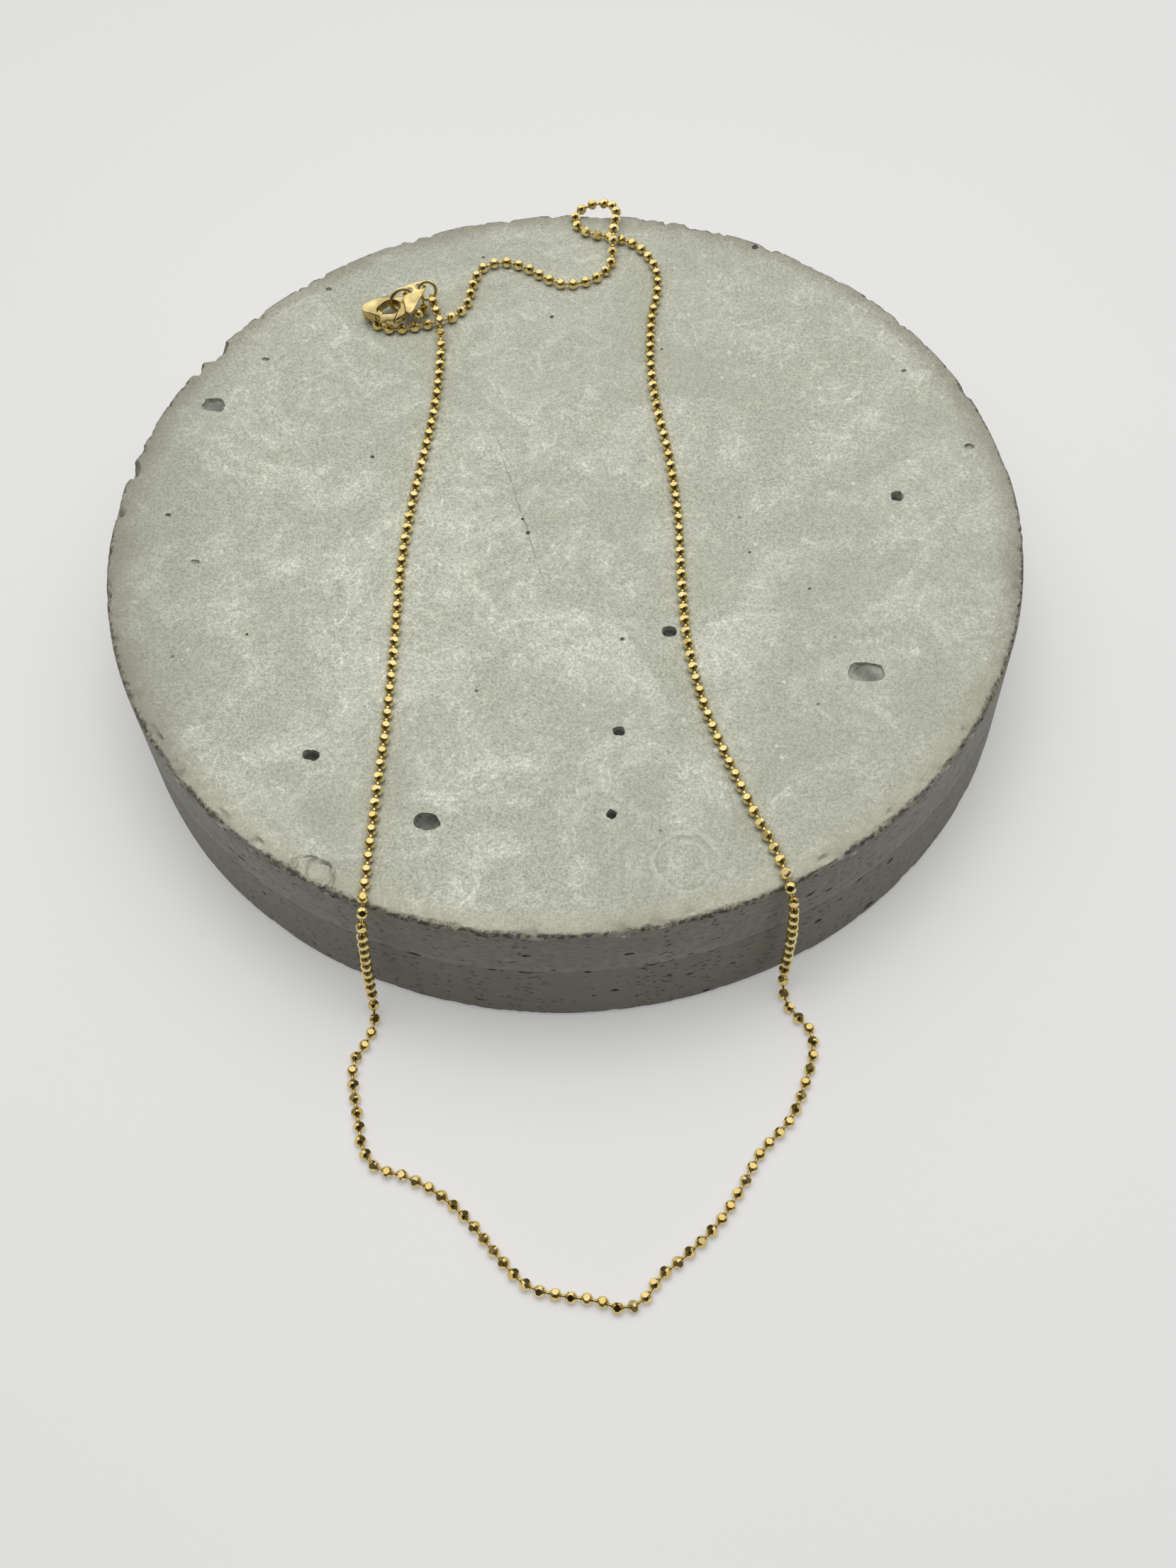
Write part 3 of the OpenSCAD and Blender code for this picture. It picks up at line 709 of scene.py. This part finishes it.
class NECKLACE_OT_cast_slab(bpy.types.Operator):
    """Casts the round concrete slab with its chipped rims and air pits"""

    bl_idname = "necklace.cast_slab"
    bl_label = "Cast slab"

    def execute(self, context):
        look = context.scene.slab_look
        slab = self.round_block(look)
        self.wear_rims(slab, look)
        self.cut_pits(slab)
        only(slab)
        bpy.ops.object.shade_smooth_by_angle(angle=math.radians(38))
        put_on(slab, concrete_material(look), NECKLACE)
        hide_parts("display_slab")
        return {"FINISHED"}

    def round_block(self, look):
        """A cylinder with round rims, an even ring of faces on its top and a cut side."""
        clear_selection()
        bpy.ops.mesh.primitive_cylinder_add(
            vertices=SLAB_SIDES, radius=SLAB_R, depth=SLAB_TOP, end_fill_type="NGON",
            location=(0, 0, SLAB_TOP / 2))
        slab = take("concrete_slab")
        bpy.ops.object.transform_apply(location=True, rotation=True, scale=True)
        bpy.ops.object.mode_set(mode="EDIT")
        pick(slab, lambda e: abs(e.verts[0].co.z - e.verts[1].co.z) < MM * 0.01, "EDGE")
        bpy.ops.mesh.bevel(offset=look.rim, segments=4, profile=0.5)
        # The one big face on top
        pick(slab, lambda f: f.normal.z > 0.99 and len(f.verts) > 100)
        for _ in range(2):
            bpy.ops.mesh.inset(thickness=0.7 * MM, depth=0)
        for height in SIDE_CUTS:
            bpy.ops.mesh.select_all(action="SELECT")
            bpy.ops.mesh.bisect(plane_co=(0, 0, height * MM), plane_no=(0, 0, 1),
                                threshold=1e-7)
        bpy.ops.object.mode_set(mode="OBJECT")
        return slab

    def wear_rims(self, slab, look):
        """Sinks both rims a little and unevenly, the top one most."""
        for vertex in slab.data.vertices:
            at = vertex.co
            out = math.hypot(at.x, at.y)
            near_top = at.z > SLAB_TOP - WEAR_ALONG
            if out < SLAB_R - WEAR_IN or WEAR_ALONG < at.z < SLAB_TOP - WEAR_ALONG:
                continue
            crumbs = noise.noise(at * CRUMBS) * 0.7 + noise.noise(at * SMALL_CRUMBS) * 0.5
            hollow = max(0.0, noise.noise(at * HOLLOWS + Vector((3, 1, 2))))
            fine = 0.05 * MM * noise.noise(at * ROUGHNESS)
            sink = look.chip * (max(0.0, crumbs - 0.05) * 1.3 + hollow * 0.5) + fine
            sink = max(0.0, sink) * (1.0 if near_top else WEAR_LESS)
            pull = 1.0 if out > SLAB_R - WEAR_STRONG else WEAR_LESS
            inward = Vector((at.x, at.y, 0)).normalized() * -sink * 0.75
            down = Vector((0, 0, -sink if near_top else sink * 0.2))
            vertex.co = at + (inward + down) * pull

    def cutter(self, at, sizes, seed, turn=0.0, boxy=1.0):
        """An uneven ball, one pit's shape; a low boxy makes its walls steep.

        A cut comes out narrower than its ball, so the balls are made larger than the pits.
        """
        clear_selection()
        fine = 3 if max(sizes) > 0.5 * MM else 2
        bpy.ops.mesh.primitive_ico_sphere_add(subdivisions=fine, radius=1.0)
        ball = take("pit_cutter")
        for vertex in ball.data.vertices:
            x, y, z = vertex.co
            swell = 1.0 + 0.24 * noise.noise(vertex.co * 1.3 + Vector((seed, seed * 2, 5)))
            swell += 0.16 * noise.noise(vertex.co * 4.1 + Vector((2, seed * 3, seed)))
            vertex.co = Vector((x, y, math.copysign(abs(z) ** boxy, z))) * swell
        ball.data.transform(Matrix.Translation(at) @ Matrix.Rotation(turn, 4, "Z")
                            @ Matrix.Diagonal((*sizes, 1.0)))
        return ball

    def cut_pits(self, slab):
        """Cuts the pits, the rim's chips and the side's holes in one go."""
        rng = random.Random(7)
        cutters = []
        for k, (x, y, r, depth, long) in enumerate(TOP_PITS):
            cutters.append(self.cutter(
                (x * MM, y * MM, SLAB_TOP),
                (r * 1.12 * long * MM, r * 1.12 / long ** 0.5 * MM, depth * MM),
                k * 1.7, rng.uniform(-0.4, 0.4), 1.0 if r > 2 else 0.5))
        for k, (x, y, long, depth) in enumerate(RIM_CHIPS):
            cutters.append(self.cutter(
                Vector((x, y, 0)).normalized() * SLAB_R * 1.004 + Vector((0, 0, SLAB_TOP)),
                (long * MM, depth * 0.8 * MM, depth * 1.1 * MM), CHIP_SEED + k * 2.3,
                math.atan2(x, -y)))
        side = list(SIDE_PITS)
        for _ in range(MORE_SIDE_PITS):
            side.append((rng.uniform(50, 320), rng.uniform(1.5, 17.5), rng.uniform(0.2, 0.6),
                         rng.uniform(0.1, 0.24)))
        for k, (angle, z, wide, high) in enumerate(side):
            a = math.radians(angle)
            at = Vector((math.sin(a), -math.cos(a), 0)) * SLAB_R + Vector((0, 0, z * MM))
            cutters.append(self.cutter(at, (wide * 1.25 * MM, 1.0 * MM, high * 1.4 * MM),
                                       HOLE_SEED + k * 1.3, a))
        tool = join(cutters, "pit_cutters")
        apply_modifier(slab, "BOOLEAN", operation="DIFFERENCE", object=tool, solver="EXACT",
                       use_self=True)
        bpy.data.objects.remove(tool)


# ---- the chain


def bead_centres(node):
    """Centres of a CAD node's loose beads, unordered."""
    bm = bmesh.new()
    bm.from_mesh(frame["nodes"][node].data)
    bmesh.ops.remove_doubles(bm, verts=bm.verts, dist=1e-6)
    bm.verts.ensure_lookup_table()
    centres, seen = [], set()
    for first in bm.verts:
        if first in seen:
            continue
        group, waiting = [], [first]
        seen.add(first)
        while waiting:
            vertex = waiting.pop()
            group.append(vertex.co)
            for edge in vertex.link_edges:
                other = edge.other_vert(vertex)
                if other not in seen:
                    seen.add(other)
                    waiting.append(other)
        low = Vector(min(c[i] for c in group) for i in range(3))
        high = Vector(max(c[i] for c in group) for i in range(3))
        centres.append((low + high) / 2)
    bm.free()
    return centres


def in_order(centres, start, ahead=None):
    """The centres from the one nearest start, each next one where the last step points."""
    left = list(centres)
    ordered = [min(left, key=lambda c: (c - start).length)]
    left.remove(ordered[0])
    while left:
        if len(ordered) > 1:
            step = ordered[-1] - ordered[-2]
        else:
            step = ahead or Vector((0, 0, 0))
        goal = ordered[-1] + step
        ordered.append(min(left, key=lambda c: (c - goal).length))
        left.remove(ordered[-1])
    return ordered


def on_flat(way, reach):
    """A test for the faces that face one way and lie that far out."""
    return lambda face: (face.normal.dot(way) > 0.999
                         and abs(face.calc_center_median().dot(way) - reach) < reach * 0.02)


def model_bead(look):
    """One bead along Z: a ball with flats cut round it and a flared hole at each end."""
    clear_selection()
    bpy.ops.mesh.primitive_uv_sphere_add(segments=12, ring_count=7, radius=look.bead_radius)
    bead = take("bead_pattern")
    bpy.ops.object.mode_set(mode="EDIT")
    half = look.flat_width / 2
    cuts = [(Vector((c, s, 0)), half) for c, s in ((1, 0), (-1, 0), (0, 1), (0, -1))]
    cuts += [(Vector((0, 0, s)), look.bead_length / 2) for s in (1, -1)]
    for way, reach in cuts:
        bpy.ops.mesh.select_all(action="SELECT")
        bpy.ops.mesh.bisect(plane_co=way * reach, plane_no=way, clear_outer=True,
                            use_fill=True, threshold=1e-7)
    bpy.ops.mesh.select_all(action="SELECT")
    bpy.ops.mesh.dissolve_limited(angle_limit=math.radians(1))
    bpy.ops.mesh.normals_make_consistent(inside=False)
    for way, reach in cuts:
        pick(bead, on_flat(way, reach))
        bpy.ops.mesh.region_to_loop()
        bpy.ops.mesh.mark_sharp()
    for way, reach in cuts[-2:]:
        pick(bead, on_flat(way, reach))
        # The hole's flared mouth
        bpy.ops.mesh.inset(thickness=0.08 * MM, depth=-0.14 * MM)
    bpy.ops.object.mode_set(mode="OBJECT")
    bpy.ops.object.shade_smooth()
    return bead


def model_pin(look):
    """One pin along Z, one metre long until it is stretched between two beads."""
    clear_selection()
    bpy.ops.mesh.primitive_cylinder_add(vertices=8, radius=look.pin_radius, depth=1.0)
    pin = take("pin_pattern")
    bpy.ops.object.mode_set(mode="EDIT")
    pick(pin, lambda f: abs(f.normal.z) > 0.9)
    bpy.ops.mesh.region_to_loop()
    bpy.ops.mesh.mark_sharp()
    bpy.ops.object.mode_set(mode="OBJECT")
    bpy.ops.object.shade_smooth()
    return pin


def end_loop(bead, way, side, look):
    """The wire's end: a pin out of the last bead, and a round loop on it."""
    loop_r, wire_r, sunk = 0.66 * MM, 0.17 * MM, 0.4 * MM
    clear_selection()
    bpy.ops.mesh.primitive_torus_add(major_segments=24, minor_segments=8,
                                     major_radius=loop_r, minor_radius=wire_r)
    loop = take("end_loop")
    loop.data.transform(frame_matrix(bead + way * WIRE_END + side * loop_r, way.cross(side)))
    bpy.ops.object.shade_smooth()
    pin = model_pin(look)
    reach = WIRE_END - sunk
    pin.data.transform(frame_matrix(bead + way * (sunk + reach / 2), way)
                       @ Matrix.Diagonal((0.9, 0.9, reach, 1.0)))
    return [loop, pin]


def string_chain(centres, spares, name, look, turn, loop):
    """Beads on the centres, in order, a pin between each two, and a loop at one end.

    The spares are what comes before and after, if anything. A bead is turned a little about
    its pin, more so near the floor, where the chain lies loose; turn is where that starts.
    """
    before, after = spares
    path = [before or centres[0]] + centres + [after or centres[-1]]
    places, up = [], Vector((0, 0, 1))
    for k in range(1, len(path) - 1):
        way = (path[k + 1] - path[k - 1]).normalized()
        up = (up - way * up.dot(way)).normalized()
        loose = 0.25 + 0.9 * (1.0 - min(1.0, path[k].z / SLAB_TOP))
        # Two slow waves, so that neighbours turn alike and no stretch repeats another
        spin = loose * (math.sin(0.31 * (k + turn)) + 0.6 * math.sin(0.83 * (k + turn) + 2.0))
        places.append(frame_matrix(path[k], way, up, spin))
    bead = model_bead(look)
    beads = copies(bead, places, "strung_beads")
    pin = model_pin(look)
    runs = []
    ends = centres + ([after] if after else [])
    for a, b in zip(ends, ends[1:]):
        reach = (b - a).length - PIN_HIDDEN
        runs.append(frame_matrix((a + b) / 2, (b - a).normalized())
                    @ Matrix.Diagonal((1.0, 1.0, reach, 1.0)))
    pins = copies(pin, runs, "strung_pins")
    for pattern in (bead, pin):
        bpy.data.objects.remove(pattern)
    chain = join([beads, pins], name)
    return join([chain] + end_loop(*loop, look), name)


class NECKLACE_OT_string_chain(bpy.types.Operator):
    """Strings the ball chain in its two halves, and the tail of spare beads"""

    bl_idname = "necklace.string_chain"
    bl_label = "String chain"

    def execute(self, context):
        look = context.scene.chain_look
        bead_gold, _ = golds()
        left = in_order(bead_centres("beads_left"), RING_MIDDLE)
        right = in_order(bead_centres("beads_right"), left[-1], left[-1] - left[-2])
        tail = in_order(bead_centres("tail_beads"), RING_MIDDLE)
        for run in (left, right):
            if max((b - a).length for a, b in zip(run, run[1:])) > BEAD_STEP_MAX:
                raise RuntimeError("the beads of a half aren't in one line")

        up, back = Vector((0, 0, 1)), Vector((0, 1, 0))
        left_way = Vector((-0.2, 0.98, 0)).normalized()
        right_way, right_side = Vector((-0.6, 0.8, 0)), Vector((0.8, 0.6, 0))
        chain = string_chain(left, (left[0] + left_way * WIRE_END, right[0]), "ball_chain_left",
                             look, turn=0, loop=(left[0], left_way, -up))
        put_on(chain, bead_gold, NECKLACE)
        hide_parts("beads_left", "chain_wire")
        chain = string_chain(right, (left[-1], None), "ball_chain_right", look,
                             turn=len(left), loop=(right[-1], right_way, right_side))
        put_on(chain, bead_gold, NECKLACE)
        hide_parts("beads_right", "chain_wire")
        chain = string_chain(tail, (tail[0] + back * WIRE_END, None), "spare_bead_tail", look,
                             turn=3, loop=(tail[0], back, up))
        put_on(chain, bead_gold, NECKLACE)
        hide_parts("tail_beads", "tail_wire")
        return {"FINISHED"}


# ---- clasp, rings and tag


def crown(piece, box):
    """Thins a piece towards the edges of a box, so that its flat faces turn into crowned ones."""
    low, high = box
    middle, half = (low + high) / 2, (high - low) / 2
    for vertex in piece.data.vertices:
        off = vertex.co - middle
        # Nothing at the middle, and more across the piece than along it
        out = min(1.2, 0.5 * (off.x / half.x) ** 2 + (off.y / half.y) ** 2)
        vertex.co.z = middle.z + off.z * (1.0 - CROWN * out)


def cast_from(node, name, voxel, rounds):
    """A cast and tumbled copy of a CAD node: merged, remeshed and rubbed smooth."""
    clear_selection()
    source = frame["nodes"][node]
    piece = source.copy()
    piece.data = source.data.copy()
    piece.parent = None
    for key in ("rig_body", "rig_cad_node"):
        if key in piece:
            del piece[key]
    bpy.context.scene.collection.objects.link(piece)
    only(piece)
    piece = take(name)
    bpy.ops.object.mode_set(mode="EDIT")
    bpy.ops.mesh.select_all(action="SELECT")
    bpy.ops.mesh.remove_doubles(threshold=1e-6)
    bpy.ops.object.mode_set(mode="OBJECT")
    apply_modifier(piece, "REMESH", mode="VOXEL", voxel_size=voxel, use_smooth_shade=True)
    apply_modifier(piece, "SMOOTH", factor=0.5, iterations=rounds)
    bpy.ops.object.shade_smooth()
    return piece


class NECKLACE_OT_cast_clasp(bpy.types.Operator):
    """Casts the clasp's body and its lever, with rubbed edges"""

    bl_idname = "necklace.cast_clasp"
    bl_label = "Cast clasp"

    def execute(self, context):
        _, fitting_gold = golds()
        body = cast_from("clasp_body", "clasp_body_cast", voxel=0.055 * MM, rounds=34)
        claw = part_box("clasp_body")
        crown(body, claw)
        put_on(body, fitting_gold, NECKLACE)
        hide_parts("clasp_body")
        lever = cast_from("clasp_lever", "clasp_lever_cast", voxel=0.045 * MM, rounds=16)
        crown(lever, claw)
        put_on(lever, fitting_gold, LEVER)
        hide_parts("clasp_lever")
        return {"FINISHED"}


class NECKLACE_OT_finish_fittings(bpy.types.Operator):
    """Finishes the two rings and the tag plate"""

    bl_idname = "necklace.finish_fittings"
    bl_label = "Finish fittings"

    def execute(self, context):
        _, fitting_gold = golds()
        tag = cast_from("tag_plate", "tag_plate_pressed", voxel=0.04 * MM, rounds=5)
        put_on(tag, fitting_gold, NECKLACE)
        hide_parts("tag_plate")
        for node in ("end_ring", "jump_ring"):
            ring = cast_from(node, node + "_wire", voxel=0.05 * MM, rounds=2)
            put_on(ring, fitting_gold, NECKLACE)
            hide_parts(node)
        return {"FINISHED"}


# ---- the studio


class NECKLACE_OT_set_stage(bpy.types.Operator):
    """Lays the white floor, sets the soft lights and the camera"""

    bl_idname = "necklace.set_stage"
    bl_label = "Set stage"

    def execute(self, context):
        look = context.scene.studio_look
        self.lay_floor(look)
        self.set_lights(look)
        self.set_camera(context)
        return {"FINISHED"}

    def lay_floor(self, look):
        """A white surface under everything, which glows: painted light that lifts the shadows on
        it. A white surface under everything, lit from below as the photograph's seems to be.
        """
        clear_selection()
        bpy.ops.mesh.primitive_plane_add(size=6.0, location=(0, 0, 0))
        floor = take("white_floor")
        w, shader, material = new_material("White surface")
        place = object_place(w)
        tone = w.grain(place, 9.0, 2.0, 0.5)
        w.feed(shader, "Base Color", w.blend(w.band(tone, 0.3, 0.7),
                                             with_alpha(look.floor_colour),
                                             with_alpha(look.floor_colour, 0.985)))
        shader.inputs["Roughness"].default_value = 0.9
        shader.inputs["Specular IOR Level"].default_value = 0.1
        shader.inputs["Emission Color"].default_value = (1.0, 0.995, 0.987, 1.0)
        # The glow is painted light that lifts the shadows on the floor, and grows far out, past
        # all that stands on it
        away = w.add("ShaderNodeVectorMath", {"operation": "LENGTH"}, n0=place).outputs["Value"]
        w.feed(shader, "Emission Strength", w.band(away, 0.4, 1.2, look.shadow_lift_glow, 0.62))
        floor.data.materials.append(material)

    def area_light(self, name, at, aim, size, power):
        """A soft light that the metal doesn't mirror."""
        clear_selection()
        bpy.ops.object.light_add(type="AREA", location=at)
        light = bpy.context.object
        light.name = name
        light.data.shape = "RECTANGLE"
        light.data.size, light.data.size_y = size
        light.data.energy = power
        light.visible_glossy = False
        light.rotation_euler = (Vector(aim) - Vector(at)).to_track_quat("-Z", "Y").to_euler()

    def set_lights(self, look):
        """Two soft lights overhead in a white room whose camera side is dark."""
        self.area_light("ceiling_light", at=(0.02, 0.04, 0.45), aim=(0.02, 0.04, 0),
                        size=(0.62, 0.54), power=look.key)
        self.area_light("overhead_lamp", at=(0.0, 0.03, 0.5), aim=(0.0, 0.0, 0),
                        size=(0.25, 0.25), power=look.lamp)
        world = bpy.data.worlds.new("White room")
        bpy.context.scene.world = world
        world.use_nodes = True
        tree = world.node_tree
        w = Wiring(tree)
        back = tree.nodes["Background"]
        way = w.add("ShaderNodeTexCoord").outputs["Generated"]
        x, y, z = w.add("ShaderNodeSeparateXYZ", None, Vector=way).outputs
        front = w.times(w.band(w.times(y, -1.0), 0.08, 0.40), w.band(z, 0.94, 0.82))
        share = w.minus(1.0, w.times(front, 1.0 - look.front))
        share = w.times(share, w.band(y, 0.15, 0.6, 1.0, look.back))
        lift = w.band(z, 0.0, 0.8, 0.75, 1.2)
        glow = w.times(w.times(lift, share), look.walls)
        w.feed(back, "Color", (1.0, 0.997, 0.99, 1.0))
        ray = w.add("ShaderNodeLightPath").outputs
        room = w.add("ShaderNodeMix", {"data_type": "FLOAT"}, n0=ray["Is Glossy Ray"], n2=glow,
                     n3=self.mirrored_room(w, look, x, y, z))
        backdrop = w.add("ShaderNodeMix", {"data_type": "FLOAT"}, n0=ray["Is Camera Ray"],
                         n2=room.outputs[0], n3=look.backdrop)
        w.feed(back, "Strength", backdrop.outputs[0])

    def mirrored_room(self, w, look, x, y, z):
        """What polished metal mirrors: a bright window wall behind, the dark camera in front."""
        window = w.times(w.band(y, -0.02, 0.10), w.band(z, 0.04, 0.16))
        window = w.times(window, w.band(w.size(x), 0.85, 0.65))
        walls = w.band(y, 0.0, -0.25, look.mirrored_walls, look.mirrored_walls * 0.4)
        room = w.plus(walls, w.times(window, w.minus(look.window, walls)))
        facing = w.plus(w.times(y, TO_CAMERA[0]), w.times(z, TO_CAMERA[1]))
        return w.times(room, w.band(facing, 0.84, 0.95, 1.0, 0.15))

    def set_camera(self, context):
        """The photograph's camera: high in front, looking down, rolled a little."""
        clear_selection()
        bpy.ops.object.camera_add()
        camera = context.object
        camera.name = "photo_camera"
        place = Matrix((CAMERA_RIGHT, CAMERA_UP, -CAMERA_AHEAD)).transposed().to_4x4()
        place.translation = CAMERA_AT
        camera.matrix_world = place
        camera.data.sensor_fit = "VERTICAL"
        camera.data.sensor_height = 36.0
        camera.data.lens = CAMERA_LENS
        camera.data.clip_start = 0.005
        context.scene.camera = camera
        context.scene.view_settings.view_transform = "Standard"


# ---- panel and run


OPERATORS = (NECKLACE_OT_cast_slab, NECKLACE_OT_string_chain, NECKLACE_OT_cast_clasp,
             NECKLACE_OT_finish_fittings, NECKLACE_OT_set_stage)
LOOKS = {"slab_look": SlabLook, "chain_look": ChainLook, "studio_look": StudioLook}


class VIEW3D_PT_necklace(bpy.types.Panel):
    """Lists the steps that build the necklace"""

    bl_idname = "VIEW3D_PT_necklace"
    bl_label = "Necklace"
    bl_space_type = "VIEW_3D"
    bl_region_type = "UI"
    bl_category = "Necklace"

    def draw(self, context):
        for name, group in LOOKS.items():
            box = self.layout.box()
            for key in group.__annotations__:
                box.prop(getattr(context.scene, name), key)
        for step in OPERATORS:
            self.layout.operator(step.bl_idname)


def register():
    """Registers the classes and hangs the settings on the scene."""
    for one in (*LOOKS.values(), *OPERATORS, VIEW3D_PT_necklace):
        bpy.utils.register_class(one)
    for name, group in LOOKS.items():
        setattr(bpy.types.Scene, name, bpy.props.PointerProperty(type=group))


def unregister():
    """Takes off what register put on."""
    for name in LOOKS:
        delattr(bpy.types.Scene, name)
    for one in (VIEW3D_PT_necklace, *reversed(OPERATORS), *LOOKS.values()):
        bpy.utils.unregister_class(one)


def main():
    register()
    bpy.ops.necklace.cast_slab()
    bpy.ops.necklace.string_chain()
    bpy.ops.necklace.cast_clasp()
    bpy.ops.necklace.finish_fittings()
    bpy.ops.necklace.set_stage()
    bpy.context.view_layer.update()


if __name__ == "__main__":
    main()
